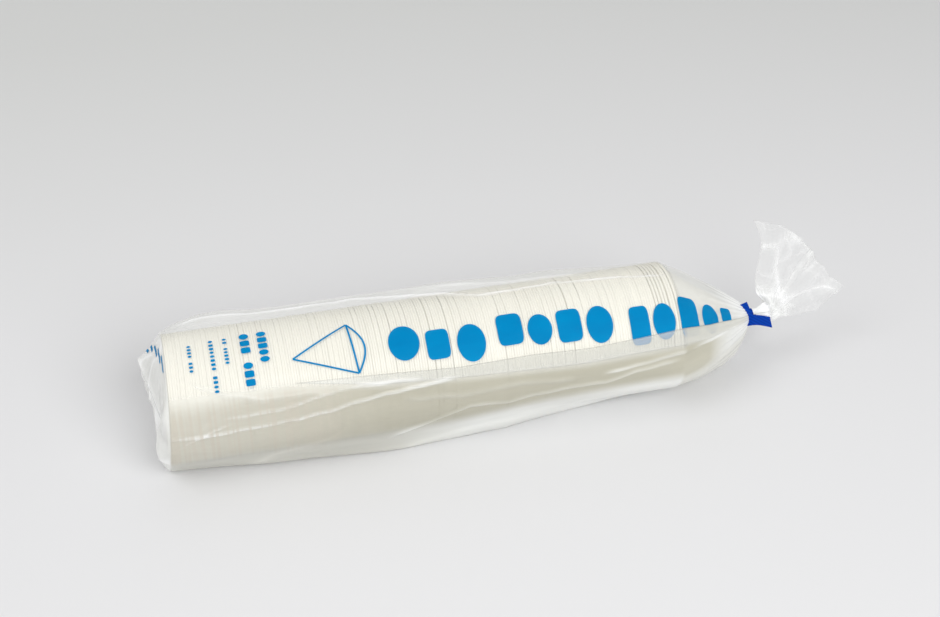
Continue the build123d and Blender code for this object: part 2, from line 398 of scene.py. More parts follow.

# Creases that run along the film: place and angle of each point, height, half width and the strength of a
# painted highlight along it
creaseLook = [
    ([(-0.160, 118), (-0.10, 116), (-0.04, 117), (0.018, 105), (0.043, 97.5), (0.090, 99.5), (0.132, 96.5),
      (0.170, 89)], 0.0007, 0.0009, 0.55),
    ([(-0.150, 132), (-0.09, 126), (-0.02, 124), (0.05, 112), (0.12, 108)], 0.0006, 0.0016, 0.15),
    ([(-0.175, 7), (-0.142, 5), (-0.085, 8), (-0.030, 19), (0.02, 24)], 0.0013, 0.0011, 0.40),
    ([(-0.134, 19), (-0.106, 18.5), (-0.087, 21), (-0.067, 27), (-0.044, 29.5), (0.0, 27)],
     0.0009, 0.0009, 0.30),
    ([(-0.158, 60), (-0.148, 50), (-0.129, 38.5), (-0.105, 30), (-0.06, 28)], 0.0006, 0.0018, 0.12),
    ([(-0.160, -2), (-0.14, 9), (-0.125, 14)], 0.0008, 0.0008, 0.30),
    ([(-0.030, -36), (0.003, -21), (0.025, -8), (0.052, -11), (0.072, -6.5), (0.092, -4.5), (0.116, -4.5),
      (0.136, 2), (0.17, 9)], 0.0012, 0.0014, 0.20),
    ([(-0.02, 12), (0.02, 6), (0.06, 9), (0.10, 3)], 0.0010, 0.0020, 0.10),
    ([(0.112, 4.5), (0.128, 7), (0.152, 12), (0.180, 17), (0.21, 24)], 0.0010, 0.0012, 0.30),
    ([(-0.16, 200), (-0.08, 208), (0.0, 203), (0.08, 210), (0.15, 206)], 0.0010, 0.0014, 0.20),
    ([(-0.12, 228), (-0.02, 222), (0.09, 230), (0.16, 224)], 0.0010, 0.0012, 0.20),
]
creaseRun = {
    "fadeIn": 0.012, "fadeOut": 0.014, "reach": 0.0445, "sway": 1.2, "swayScale": 70,
    "paintedHighlight": 0.75, "highlightWave": 0.5, "highlightScale": 45,
}

# The neck under the tie and past it, where the film opens in crumples
neckLook = {
    "flareFrom": 0.45, "flare": 0.5, "pleats": 13, "pleatWander": 0.4, "pleatDepth": 0.0018,
    "rippleDepth": 0.0012, "haze": 0.12, "tone": 0.15,
}

# The fan beyond the tie, as the solid has it: length of each fold and how far it stands out, in millimetres
fanLook = {
    "turn": 44.5, "spread": 52.5, "lean": 37, "root": 0.0034, "opened": 0.2, "stretch": 0.9,
    "upperRoot": 30, "upperBack": 6, "upperBow": 7, "lowerRoot": 14,
    "pleats": [(64.0, 1.5), (61.5, -3.0), (60.0, 4.5), (57.5, -2.5), (55.0, 3.5), (53.5, -5.0), (51.5, 2.5),
               (51.0, -3.0), (51.5, 5.0), (54.5, -3.5), (60.5, 2.0), (48.0, -4.0), (40.0, 1.0)],
    "bunch": 0.0048, "bunchPlace": 0.09, "bunchRun": 0.10, "belly": 0.0016, "gap": 0.0003,
    "curl": 0.008, "curlTurn": 2.2, "curlStart": 0.6,
    "crumple": 0.0040, "small": 0.0011, "fine": 0.0006, "level": 0.45, "hem": 0.96,
    "crumpleStart": 0.4, "finePleats": 11.3, "fineWander": 0.6, "fineWaves": 9,
    "haze": 0.10, "rootHaze": 0.52, "rootRun": 0.20, "creaseHaze": 0.26, "hemHaze": 0.08, "most": 0.95,
    "tone": 0.64, "creaseHighlight": 0.3, "rootPaintedLight": 0.1,
}


def creases(points, wave):
    scale, stretch, shift = waveLook[wave]
    grown = points * (np.array(stretch) * scale) + shift
    return 1 - 2 * np.abs(np.array([noise.noise(Vector(p)) for p in grown]))


def outwards(angles):
    turn = np.radians(angles)
    return np.stack([np.zeros_like(turn), -np.cos(turn), np.sin(turn)], axis=1)


def sleeveAngles(x):
    # the angles of one section, up the front, back down inside the fold and on over the top
    look = foldLook
    top = along(x, look["angles"], 1)
    low = along(x, look["angles"], 2)
    size = min(1.0, max(0.0, (top - low) / look["full"]))
    high = look["lift"]
    inner = high * look["inner"]
    below = np.linspace(-90, top, filmLook["belowFold"], endpoint=False)
    within = np.linspace(top, low, filmLook["inFold"], endpoint=False)
    above = np.linspace(low, 270, filmLook["aboveFold"], endpoint=False)
    lift = np.concatenate([
        high * smoothStep(top - look["riseFrom"], top - look["riseTo"], below),
        np.linspace(high, inner, filmLook["inFold"], endpoint=False),
        inner * (1 - smoothStep(low, top + look["fallTo"], above)),
    ])
    belowHaze = look["haze"] * smoothStep(low - look["hazeFrom"], low + look["hazeTo"], below)
    belowHaze += look["edgeHaze"] * smoothStep(top - look["edge"], top, below)
    hazy = np.concatenate([
        belowHaze,
        look["innerHaze"] * np.linspace(1, 0, filmLook["inFold"]),
        look["upperHaze"] * (1 - smoothStep(low, top + 1, above)),
    ])
    return np.concatenate([below, within, above]), lift * size, hazy * size, low


def hug(x, angles, lift):
    # how far the film is from the axis: a flat foot, a straight side up to the rims, slack along the top
    look = filmLook
    away = np.radians(np.abs((angles - 270 + 180) % 360 - 180))
    corner = math.atan2(along(x, look["foot"]), axis)
    flat = axis / np.cos(np.minimum(away, corner))
    rising = look["radius"] / np.cos(np.clip(2 * corner - away, 0, look["footSteepest"]))
    reach = np.where(away <= corner, flat, np.where(away > 2 * corner, look["radius"], rising))
    off = np.clip((angles - look["slackAngle"]) / look["slackSpread"], -1, 1)
    return reach + along(x, look["slack"]) * np.cos(off * math.pi / 2) ** 2 + lift


def lowest(x, y):
    look = filmLook
    raised = along(x, look["raised"])
    return look["floorGap"] + raised * smoothStep(look["raisedFrom"], 1.0, -y / along(x, look["foot"]))


def section(x, share, angles, reach):
    y = -reach * np.cos(np.radians(angles))
    z = axis + reach * np.sin(np.radians(angles))
    if share > 0:
        look = shoulderLook
        last = [neckRadius / axis]
        high = np.interp(share, look["share"], look["high"] + last)
        low = np.interp(share, look["share"], look["low"] + last)
        centre = neckHeight + (axis - neckHeight) * (1 - share)
        z = centre + (z - centre) * np.where(z > centre, high, low)
        y = y * np.interp(share, look["share"], look["wide"] + last)
    return np.stack([np.full_like(y, x), y, z], axis=1)


def creaseLines(x, angles):
    look = creaseRun
    lift, paintedHighlight = np.zeros_like(angles), np.zeros_like(angles)
    for line, height, half, highlightStrength in creaseLook:
        start, end = line[0], line[-1]
        ends = smoothStep(start[0], start[0] + look["fadeIn"], x)
        ends = ends * (1 - smoothStep(end[0] - look["fadeOut"], end[0], x))
        if ends <= 0:
            continue
        sway = look["sway"] * noise.noise(Vector((x * look["swayScale"], start[1], 0)))
        off = np.radians((angles - (along(x, line) + sway) + 180) % 360 - 180) * look["reach"]
        profile = np.exp(-(off / half) ** 2) * ends
        wave = look["highlightWave"] * noise.noise(Vector((x * look["highlightScale"], end[1], 4)))
        lift += height * profile
        # each crease gets a painted highlight, which also makes it milkier
        paintedHighlight += highlightStrength * profile * (look["paintedHighlight"] + wave)
    return lift, paintedHighlight


class Sleeve:  # the film's rings of points, with the levels that its finish reads
    def __init__(self):
        self.rings, self.haze, self.tone, self.paintedRimLines = [], [], [], []

    def add(self, ring, haze, tone, paintedRimLines):
        self.rings.append(ring)
        self.haze.append(haze)
        self.tone.append(tone)
        self.paintedRimLines.append(paintedRimLines)


def capRings(sleeve):
    look = capLook
    angles, lift = sleeveAngles(firstRim)[:2]
    rim = section(firstRim, 0, angles, hug(firstRim, angles, lift))
    y, z = rim[:, 1], rim[:, 2]
    edge = firstRim + (z - axis) * cupLook["lean"]
    bulge = along(angles % 360, look["bulge"])
    seamY = np.clip(y * look["seamShrink"], look["seam"][0][0], look["seam"][-1][0])
    seamZ = look["seamHeight"] + look["seamWave"] * np.sin(np.radians(angles))
    seamX = firstRim - along(seamY, look["seam"])
    # the film under the stripes is smoother
    plain = look["flattened"] * smoothStep(*look["flatFrom"], angles)
    plain = 1 - plain * smoothStep(*look["flatTo"], angles)
    for step in np.linspace(1, 0, filmLook["capSteps"], endpoint=False):
        inward = step ** look["inward"]
        out = bulge * math.sin(min(1, step * look["bulgeRun"]) * math.pi / 2) ** look["bulgePower"]
        x = (1 - inward) * (edge - out) + inward * seamX
        ring = np.stack([x, y + (seamY - y) * inward, z + (seamZ - z) * inward], axis=1)
        sway = smoothStep(*look["swayFrom"], step) * smoothStep(*look["swayTo"], step) * plain
        big = creases(ring, "cap")
        ripple = look["ripple"] * creases(ring, "capFine")
        ring[:, 0] -= sway * (look["wave"] * (big - look["waveLevel"]) + ripple)
        limit = firstRim + (ring[:, 2] - axis) * cupLook["lean"] - filmLook["floorGap"]
        ring[:, 0] = np.minimum(ring[:, 0], limit)
        ring[:, 2] = np.maximum(ring[:, 2], lowest(firstRim, ring[:, 1]))
        crease = np.maximum(0, big)
        pressed = smoothStep(*look["pressed"], step)
        haze = look["haze"] + look["creaseHaze"] * crease ** 8 + look["seamHaze"] * pressed
        # crease crests are milkier and painted lighter, a painted highlight
        tone = look["tone"] + look["creaseHighlight"] * crease ** 6
        sleeve.add(ring, haze, tone, np.zeros_like(angles))


def runLevels(x, share, angles, hazy, paintedHighlight, loose, front, wide, gathers, deep):
    # haze, tone with its painted shade and highlights, and painted rim lines of one section over the cups or
    # the shoulder
    milk, tint = milkLook, toneLook
    turned = angles % 360
    topLoose = smoothStep(*milk["topFrom"], turned) * (1 - smoothStep(*milk["topTo"], turned))
    topLoose = topLoose * along(x, milk["topRun"])
    veil = along(x, milk["veil"]) * front
    sharp = np.maximum(0, wide) ** milk["creasePower"]
    taper = smoothStep(*milk["shoulderFrom"], share)
    free = along(x, milk["skirtTop"])
    skirt = smoothStep(free, free - milk["skirtSoft"], angles) * along(x, milk["skirtRun"])
    haze = milk["base"] + milk["top"] * topLoose + hazy + veil * (milk["veilLevel"] + milk["veilWave"] * wide)
    haze = haze + paintedHighlight + milk["crease"] * sharp * (front + loose)
    whiter = milk["shoulder"] + milk["neck"] * smoothStep(*milk["neckFrom"], share)
    haze = haze + whiter * taper * (1 - milk["shoulderFront"] * front) + milk["skirt"] * skirt * (1 - taper)
    haze = haze + milk["gathers"] * deep * (gathers + milk["gatherLevel"])
    # painted shade: the film is painted darker below the fold, in the fold, over the shoulder past the last
    # rim and low down by the floor, and lighter on the crease highlights
    behind = front * (1 - skirt) * (1 - smoothStep(*tint["frontEnd"], share)) * along(x, tint["frontRun"])
    tone = tint["base"] - tint["top"] * topLoose - tint["front"] * behind
    tone = tone + tint["paintedHighlight"] * paintedHighlight - tint["haze"] * hazy - tint["shoulder"] * taper * (1 - share)
    tone = tone - tint["shoulderFront"] * taper * front - tint["skirt"] * skirt
    paintedRimLines = front ** 2 * smoothStep(*milk["ribsFrom"], angles) * along(x, milk["ribsRun"])
    return np.clip(haze, milk["least"], milk["most"]), np.clip(tone, 0, 1), paintedRimLines


def runRings(sleeve):
    wave, milk, shoulder = waveLook, milkLook, shoulderLook
    for x in np.linspace(firstRim, neckStart, filmLook["runSteps"]):
        angles, lift, hazy, low = sleeveAngles(x)
        share = max(0.0, (x - lastRim) / (neckStart - lastRim))
        ring = section(x, share, angles, hug(x, angles, lift))
        lineLift, paintedHighlight = creaseLines(x, angles)
        off = np.hypot(ring[:, 1], ring[:, 2] - axis) - milk["looseFrom"]
        loose = np.clip(off / milk["looseRun"], 0, 1) * (share <= 0)
        soft = along(x, milk["frontSoft"])
        front = smoothStep(low + soft * 0.5, low - soft, angles) * smoothStep(*milk["frontFrom"], angles)
        wide = creases(ring, "wide")
        fine = creases(ring, "fine")
        depth = wave["looseDepth"] * loose + wave["frontDepth"] * front
        depth = depth + shoulder["wave"] * smoothStep(0, 0.3, share)
        depth = depth * (1 - shoulder["waveLoss"] * smoothStep(shoulder["waveEnd"], 1, share))
        pulls = angles * shoulder["gathers"] / 360
        pulls = pulls + shoulder["gatherWander"] * noise.noise(Vector((x * shoulder["gatherScale"], 3, 0)))
        gathers = np.abs((pulls % 1) * 2 - 1) - 0.5
        deep = smoothStep(*shoulder["gatherFrom"], share)
        deep = deep * (1 - shoulder["gatherLoss"] * smoothStep(*shoulder["gatherTo"], share))
        lifted = depth * (wave["wideShare"] * wide + wave["fineShare"] * fine)
        lifted = lifted + shoulder["gatherDepth"] * deep * gathers
        lifted = lifted + lineLift * (1 - shoulder["creaseLoss"] * share)
        if share <= 0:
            lifted = np.maximum(lifted, wave["deepest"])
        ring += outwards(angles) * lifted[:, None]
        ring[:, 0] += (ring[:, 2] - axis) * leanAt((x - firstRim) / cupLook["pitch"])
        ring[:, 2] = np.maximum(ring[:, 2], lowest(x, ring[:, 1]))
        sleeve.add(ring, *runLevels(x, share, angles, hazy, paintedHighlight, loose, front, wide, gathers, deep))
    return angles


def neckRings(sleeve, angles):
    look = neckLook
    neckRing = sleeve.rings[-1]
    middle = np.array([neckStart, 0, neckHeight])
    pulls = angles * look["pleats"] / 360 + look["pleatWander"] * np.sin(np.radians(angles * 2))
    pleats = np.abs(pulls % 1 * 2 - 1) - 0.5
    for i in range(filmLook["neckSteps"]):
        share = (i + 1) / filmLook["neckSteps"]
        flare = smoothStep(look["flareFrom"], 1.0, share)
        ring = middle + (neckRing - middle) * (1 + look["flare"] * flare)
        ring += np.array([(neckEnd - neckStart) * share, 0, 0])
        depth = look["pleatDepth"] * pleats + look["rippleDepth"] * creases(ring, "neck")
        ring += outwards(angles) * (flare * depth)[:, None]
        haze = np.clip(sleeve.haze[-1] + look["haze"] * flare, 0, milkLook["most"])
        tone = np.clip(sleeve.tone[-1] + look["tone"] * flare, 0, 1)
        sleeve.add(ring, haze, tone, sleeve.paintedRimLines[-1])


def tailRings(sleeve, angles):
    look = fanLook
    turn, lean = math.radians(look["turn"]), math.radians(look["lean"])
    upward = np.array([0, math.sin(lean), math.cos(lean)])
    facing = np.array([0, -math.cos(lean), math.sin(lean)])
    sideways = upward * math.cos(turn) - np.array([math.sin(turn), 0, 0])
    root = np.array([neckEnd, 0, neckHeight])
    theta = ((90 + look["lean"]) - angles) % 360  # from the fan's upper edge, over the front layer
    front = theta < 180
    # 1 at the fan's upper edge and -1 at its lower one
    side = np.where(front, 1 - theta / 90, (theta - 180) / 90 - 1)
    upper = np.maximum(0, side) ** 2
    lower = np.maximum(0, -side) ** 2
    lengths, rises = np.array(look["pleats"]).T / 1000
    places = np.linspace(-1, 1, len(lengths))
    length = np.interp(side, places, lengths[::-1])
    rise = np.interp(side, places, rises[::-1])
    pulls = side * look["finePleats"] + look["fineWander"] * np.sin(side * look["fineWaves"])
    finer = 1 - 4 * np.abs(pulls % 1 - 0.5)
    last = sleeve.rings[-1]
    local = last - np.array([last[0][0], 0, neckHeight])
    for step in np.linspace(0, 1, filmLook["tailSteps"] + 1)[1:]:
        rest = (1 - step) ** 2
        bow = look["upperBow"] * math.sin(math.pi * step)
        swing = turn + math.radians(look["spread"]) * side
        swing = swing + upper * math.radians(look["upperRoot"] * rest - look["upperBack"] - bow)
        swing = swing - math.radians(look["lowerRoot"]) * lower * rest
        rising = np.sin(swing)
        direction = np.stack([np.cos(swing), rising * upward[1], rising * upward[2]], axis=1)
        opened = smoothStep(0.0, look["opened"], step)
        ring = root + local * (1 - opened) + direction * (length * step ** look["stretch"])[:, None]
        ring += sideways * (look["root"] * side * (1 - step) * opened)[:, None]
        crumple = creases(ring, "tail") - look["level"]
        small = creases(ring, "tailFine") - look["level"]
        puff = look["bunch"] * math.exp(-((step - look["bunchPlace"]) / look["bunchRun"]) ** 2)
        puff += look["belly"] * math.sin(math.pi * step) + look["gap"]
        puff = np.where(front, 1, -1) * puff * (1 - np.abs(side) ** 4)
        curl = look["curl"] * np.sin(look["curlTurn"] * side + look["curlStart"]) * step ** 2
        wave = look["crumple"] * crumple * (look["crumpleStart"] + step)
        wave = wave + look["small"] * small + look["fine"] * finer
        wave = rise * step + opened * wave
        ring = ring + facing * (wave + puff + curl)[:, None]
        hem = np.maximum(smoothStep(look["hem"], 1.0, step), smoothStep(look["hem"], 1.0, np.abs(side)))
        sharp = np.maximum(0, crumple + look["level"]) ** 9 + 0.5 * np.maximum(0, small + look["level"]) ** 9
        white = look["rootHaze"] * math.exp(-(step / look["rootRun"]) ** 2)
        haze = white + look["haze"] + look["creaseHaze"] * sharp + look["hemHaze"] * hem
        # painted highlight on the crumple crests, and painted light at the root over the shaded hollow behind
        # the tie
        tone = look["tone"] + look["creaseHighlight"] * sharp + look["rootPaintedLight"] * white
        sleeve.add(ring, np.clip(haze, 0, look["most"]), np.clip(tone, 0, 1), np.zeros_like(angles))


def closingFaces(ring):
    # the seam and the fan's free edge are pressed shut, from one end of the flattened ring to the other
    span = ring - ring.mean(axis=0)
    far = span @ np.linalg.svd(span, full_matrices=False)[2][0]
    count = len(ring)
    low, high = int(np.argmin(far)), int(np.argmax(far))
    one = [(low + i) % count for i in range((high - low) % count + 1)]
    two = [(low - i) % count for i in range((low - high) % count + 1)]
    faces, i, j = [], 0, 0
    while i < len(one) - 1 or j < len(two) - 1:
        if i < len(one) - 1 and (j == len(two) - 1 or far[one[i + 1]] <= far[two[j + 1]]):
            faces.append((one[i], one[i + 1], two[j]))
            i += 1
        else:
            faces.append((one[i], two[j + 1], two[j]))
            j += 1
    return [face for face in faces if len(set(face)) == 3]


def filmSleeve(finish):
    sleeve = Sleeve()
    capRings(sleeve)
    angles = runRings(sleeve)
    neckRings(sleeve, angles)
    tailRings(sleeve, angles)
    rings = sleeve.rings
    count = len(rings[0])
    last = (len(rings) - 1) * count
    faces = ringFaces(len(rings) - 1, count)
    faces += [face[::-1] for face in closingFaces(rings[0])]
    faces += [tuple(last + k for k in face) for face in closingFaces(rings[-1])]
    obj = meshObject("filmSleeve", np.vstack(rings), faces)
    for name, values in (("haze", sleeve.haze), ("tone", sleeve.tone), ("paintedRimLines", sleeve.paintedRimLines)):
        level = obj.data.attributes.new(name, "FLOAT", "POINT")
        level.data.foreach_set("value", np.concatenate(values).astype(np.float32))
    for polygon in obj.data.polygons:
        polygon.use_smooth = len(polygon.vertices) > 3
    keep(obj, finish, "film", "bag")
    print("film sleeve", len(rings), "rings of", count)
    return rings


# The film's colours, from painted shade to painted highlight, its painted glow, and its streaks, painted rim
# lines and wrinkles
filmShade = {
    "roughness": 0.2, "behind": (0.46, 0.44, 0.345, 1), "grey": (0.80, 0.81, 0.79, 1),
    # the through colour and its strength make a painted glow, in place of light coming through the film
    "white": (0.97, 0.975, 0.98, 1), "through": (0.80, 0.80, 0.76, 1), "paintedGlowStrength": 0.12,
    "streaks": 50, "streakRise": 0.6, "streakLeast": 0.7,
    "rib": (0.565, 0.515, 0.435, 1), "paintedRimLines": 620, "ribFrom": 0.40, "ribRate": 4.5, "ribLeast": 0.15,
    "ribShare": 0.7, "wrinkles": 120, "wrinkleBump": 0.2, "wrinkleDepth": 0.0006,
}


def filmFinish():
    look = filmShade
    film = Finish("clearFilm", Roughness=look["roughness"], IOR=1.5)
    # painted glow: the film gives off a little light of its own, standing in for light that comes through it
    film.set(Emission_Color=look["through"], Emission_Strength=look["paintedGlowStrength"])
    tone = film.attribute("tone")
    streaks = film.noise(look["streaks"], stretch=(0.2, 1, 1), Detail=3.0)
    uneven = streaks * look["streakRise"] + look["streakLeast"]
    film.set(Alpha=(film.attribute("haze") * uneven).clamped())
    # painted shade and highlight: low values of the attribute paint the shaded paper behind, high ones paint
    # white highlights
    low = film.mix((tone * 2.0).clamped(), look["behind"], look["grey"])
    pale = film.mix((tone * 2.0 - 1.0).clamped(), low, look["white"])
    # painted shade: faint lines of the shaded rims are painted on the milky front
    lines = film.noise(look["paintedRimLines"], stretch=(1, 0.02, 0.02), Detail=0.0)
    lines = ((lines - look["ribFrom"]) * look["ribRate"]).clamped() + look["ribLeast"]
    paintedRimLines = (film.attribute("paintedRimLines") * lines).clamped()
    film.set(Base_Color=film.mix(paintedRimLines * look["ribShare"], pale, look["rib"]))
    wrinkles = film.noise(look["wrinkles"], stretch=(0.3, 1, 1), Detail=3.0)
    film.bump(wrinkles, look["wrinkleBump"], look["wrinkleDepth"])
    return film


# Print: plain fields of blue on the film, as place, angle, width, height in degrees, kind
printLook = {
    "pale": (0.0, 0.28, 0.58, 1), "deep": (0.0, 0.17, 0.42, 1), "roughness": 0.5, "sheen": 0.02,
    "cover": 0.98,
    "lift": 0.00025, "reach": 0.046, "power": {"disc": 2.0, "block": 5.0},
    "fieldCorners": 60, "fieldRings": 9, "markCorners": 20, "markRings": 2,
    "fields": [
        (-0.0130, 60.0, 0.0200, 31, "disc"), (0.0085, 54.5, 0.0150, 26, "block"),
        (0.0300, 51.5, 0.0185, 33, "disc"), (0.0560, 58.0, 0.0165, 28, "block"),
        (0.0755, 54.0, 0.0160, 27, "disc"), (0.0950, 53.5, 0.0160, 29, "block"),
        (0.1150, 50.5, 0.0175, 33, "disc"), (0.1415, 44.0, 0.0130, 34, "block"),
        (0.1580, 44.5, 0.0150, 32, "disc"), (0.1760, 46.5, 0.0140, 38, "block"),
        (0.1930, 45.0, 0.0130, 36, "disc"), (0.2070, 50.0, 0.0085, 24, "block"),
    ],
    # rows of small marks: place, from, to, how many, width, share of the pitch, which mark is left out
    "rows": [
        (-0.1010, 61, 93, 5, 0.0060, 0.80, None), (-0.1120, 35, 93, 8, 0.0060, 0.80, 4),
        (-0.1245, 64, 91, 8, 0.0028, 0.62, 5), (-0.1340, 33, 91, 15, 0.0030, 0.62, 6),
        (-0.1490, 61, 89, 8, 0.0026, 0.62, 3),
    ],
    # the outline cone: place and angle of its corners
    "tip": (-0.0840, 60), "top": (-0.0470, 86), "low": (-0.0440, 40), "line": 0.0012, "belly": 0.0075,
    # stripes over the open end: how many rings in, and angle
    "stripes": [(10, 138), (14, 124), (18, 105), (22, 90), (26, 76)], "stripeHalf": 10, "stripeRings": 2,
    "capMiddle": 0.02, "lineSteps": 24,
}


def filmAt(rings, x, angle):
    # the place on the finished film, above its fold, a little way out
    look = filmLook
    far = (x - firstRim) / (neckStart - firstRim) * (look["runSteps"] - 1)
    i = int(min(max(far, 0), look["runSteps"] - 2))
    above = look["belowFold"] + look["inFold"]
    spots = []
    for ring in rings[look["capSteps"] + i:look["capSteps"] + i + 2]:
        angles = sleeveAngles(ring[0][0])[0][above:]
        spots.append(np.array([np.interp(angle, angles, ring[above:, n]) for n in range(3)]))
    out = outwards(np.array([float(angle)]))[0] * printLook["lift"]
    return spots[0] + (spots[1] - spots[0]) * (far - i) + out


def roundField(film, x, angle, width, tall, kind, corners, rings):
    # a disc or a rounded block laid on the film, as rings round its middle
    power = 2 / printLook["power"][kind]
    spots = []
    for i in range(rings + 1):
        for k in range(corners):
            turn = 2 * math.pi * k / corners
            across, up = math.cos(turn), math.sin(turn)
            across = math.copysign(abs(across) ** power, across) * width / 2 * i / rings
            up = math.copysign(abs(up) ** power, up) * tall / 2 * i / rings
            spots.append(filmAt(film, x + across, angle + up))
    quads = ringFaces(rings, corners)
    return spots, [quad[:3] for quad in quads[:corners]] + quads[corners:]


def stroke(film, line, width):
    # a printed line through places on the film
    degree = math.radians(1) * printLook["reach"]
    spots, faces = [], []
    for i, (x, a) in enumerate(line):
        before, after = line[max(0, i - 1)], line[min(len(line) - 1, i + 1)]
        dx, da = after[0] - before[0], (after[1] - before[1]) * degree
        length = math.hypot(dx, da)
        side = (-da / length * width / 2, dx / length * width / 2 / degree)
        spots += [filmAt(film, x - side[0], a - side[1]), filmAt(film, x + side[0], a + side[1])]
        if i:
            faces.append((2 * i - 2, 2 * i, 2 * i + 1, 2 * i - 1))
    return spots, faces


def straight(start, end):
    steps = printLook["lineSteps"]
    shares = [k / steps for k in range(steps + 1)]
    return [(start[0] + (end[0] - start[0]) * t, start[1] + (end[1] - start[1]) * t) for t in shares]


def outlineCone(rings):
    look = printLook
    tip, top, low = look["tip"], look["top"], look["low"]
    mouth = []
    for k, (x, angle) in enumerate(straight(top, low)):
        mouth.append((x + look["belly"] * math.sin(math.pi * k / look["lineSteps"]), angle))
    lines = (straight(tip, top), straight(tip, low), straight(top, low), mouth)
    return [stroke(rings, line, look["line"]) for line in lines]


def stripesOnCap(rings):
    # plain even stripes on the film over the open end
    look = printLook
    pieces = []
    count = len(rings[0])
    middle = np.array([firstRim + look["capMiddle"], 0, axis])
    angles = sleeveAngles(firstRim)[0]
    for ring, centre in look["stripes"]:
        chosen = [k for k in range(count) if abs(angles[k] - centre) < look["stripeHalf"]]
        spots = []
        for k in chosen:
            for r in (ring, ring + look["stripeRings"]):
                here = rings[r][k]
                beside = rings[r][(k + 1) % count] - rings[r][k - 1]
                inward = rings[r + 1][k] - rings[r - 1][k]
                normal = np.cross(beside, inward)
                normal /= np.linalg.norm(normal)
                if normal @ (here - middle) < 0:
                    normal = -normal
                spots.append(here + normal * look["lift"])
        faces = [(i, i + 2, i + 3, i + 1) for i in range(0, 2 * len(chosen) - 2, 2)]
        pieces.append((spots, faces))
    return pieces


def printFields(ink, rings):
    look = printLook
    pieces = []
    for field in look["fields"]:
        pieces.append(roundField(rings, *field, look["fieldCorners"], look["fieldRings"]))
    for x, low, high, count, width, share, skipped in look["rows"]:
        pitch = (high - low) / count
        for i in range(count):
            if i != skipped:
                kind = "disc" if (i * 3 + count) % 4 < 2 else "block"
                mark = (x, low + (i + 0.5) * pitch, width, pitch * share, kind)
                pieces.append(roundField(rings, *mark, look["markCorners"], look["markRings"]))
    pieces += outlineCone(rings)
    pieces += stripesOnCap(rings)
    spots, faces = [], []
    for some, theirs in pieces:
        base = len(spots)
        spots += some
        faces += [tuple(base + k for k in face) for face in theirs]
    keep(meshObject("printFields", spots, faces), ink, "film")


def inkFinish():
    look = printLook
    ink = Finish("blueInk", Roughness=look["roughness"], Specular_IOR_Level=look["sheen"])
    ink.set(Alpha=look["cover"])
    streaks = ink.noise(70, stretch=(0.4, 1, 1), Detail=3.0)
    ink.set(Base_Color=ink.mix(streaks, look["pale"], look["deep"]))
    return ink


# Tie: a flat ribbon round the neck, its two ends pressed together at the front
tieLook = {
    "deep": (0.0, 0.030, 0.26, 1), "light": (0.0, 0.048, 0.38, 1), "roughness": 0.5, "sheen": 0.05,
    "emboss": 200.0, "embossBump": 0.4, "embossDepth": 0.0003,
    "width": 0.0075, "thick": 0.0005, "doubled": 1.6, "place": 0.0045, "turn": 13, "tip": 50,
    "rise": 0.0074, "steps": 24,
    "collar": 0.0034, "collarGap": 0.0006, "collarWidth": 0.4, "collarSteps": 41,
    "longStart": -0.0064, "longRun": 0.0168, "longDrop": 0.0050, "longSway": 0.0008, "longRipple": 0.0007,
    "longLeast": 0.92, "longFlare": 0.30, "longWaist": 0.4, "longLean": 0.18, "longTwist": 0.40,
    "shortStart": (-0.0038, -0.0036, 0.0006), "shortRun": 0.0118, "shortLean": 114, "shortWidth": 0.0046,
    "shortFlare": 0.0012, "shortWaist": 0.45, "shortRipple": 0.0007,
    "knotSide": 0.0014, "knotDrop": 0.0024, "knotRun": 0.0036, "knotWidth": 0.0034, "knotThick": 0.0040,
    "knotSteps": 6,
}


def ribbonFinish():
    look = tieLook
    ribbon = Finish("blueRibbon", Roughness=look["roughness"], Specular_IOR_Level=look["sheen"])
    emboss = ribbon.node(
        "TexWave", {"wave_type": "BANDS", "bands_direction": "DIAGONAL"}, out=1,
        Vector=ribbon.place(), Scale=look["emboss"], Distortion=1.5,
    )
    ribbon.set(Base_Color=ribbon.mix(emboss, look["deep"], look["light"]))
    ribbon.bump(emboss, look["embossBump"], look["embossDepth"])
    return ribbon


def strip(name, line, widths, ways, thick):
    # a ribbon along a line of points, each way points across it
    rows = 7
    spots = []
    for point, width, way in zip(line, widths, ways):
        spots += [Vector(point) + Vector(way) * width * (k / (rows - 1) - 0.5) for k in range(rows)]
    corners = [i * rows + k for i in range(len(line) - 1) for k in range(rows - 1)]
    faces = [(a, a + rows, a + rows + 1, a + 1) for a in corners]
    obj = meshObject(name, spots, faces)
    clear()
    obj.select_set(True)
    bpy.context.view_layer.objects.active = obj
    wall = obj.modifiers.new("wall", "SOLIDIFY")
    wall.thickness = thick
    wall.offset = 0
    bpy.ops.object.modifier_apply(modifier="wall")
    soft = obj.modifiers.new("soft", "BEVEL")
    soft.width = thick * 0.3
    soft.segments = 2
    soft.limit_method = "ANGLE"
    bpy.ops.object.modifier_apply(modifier="soft")
    return obj


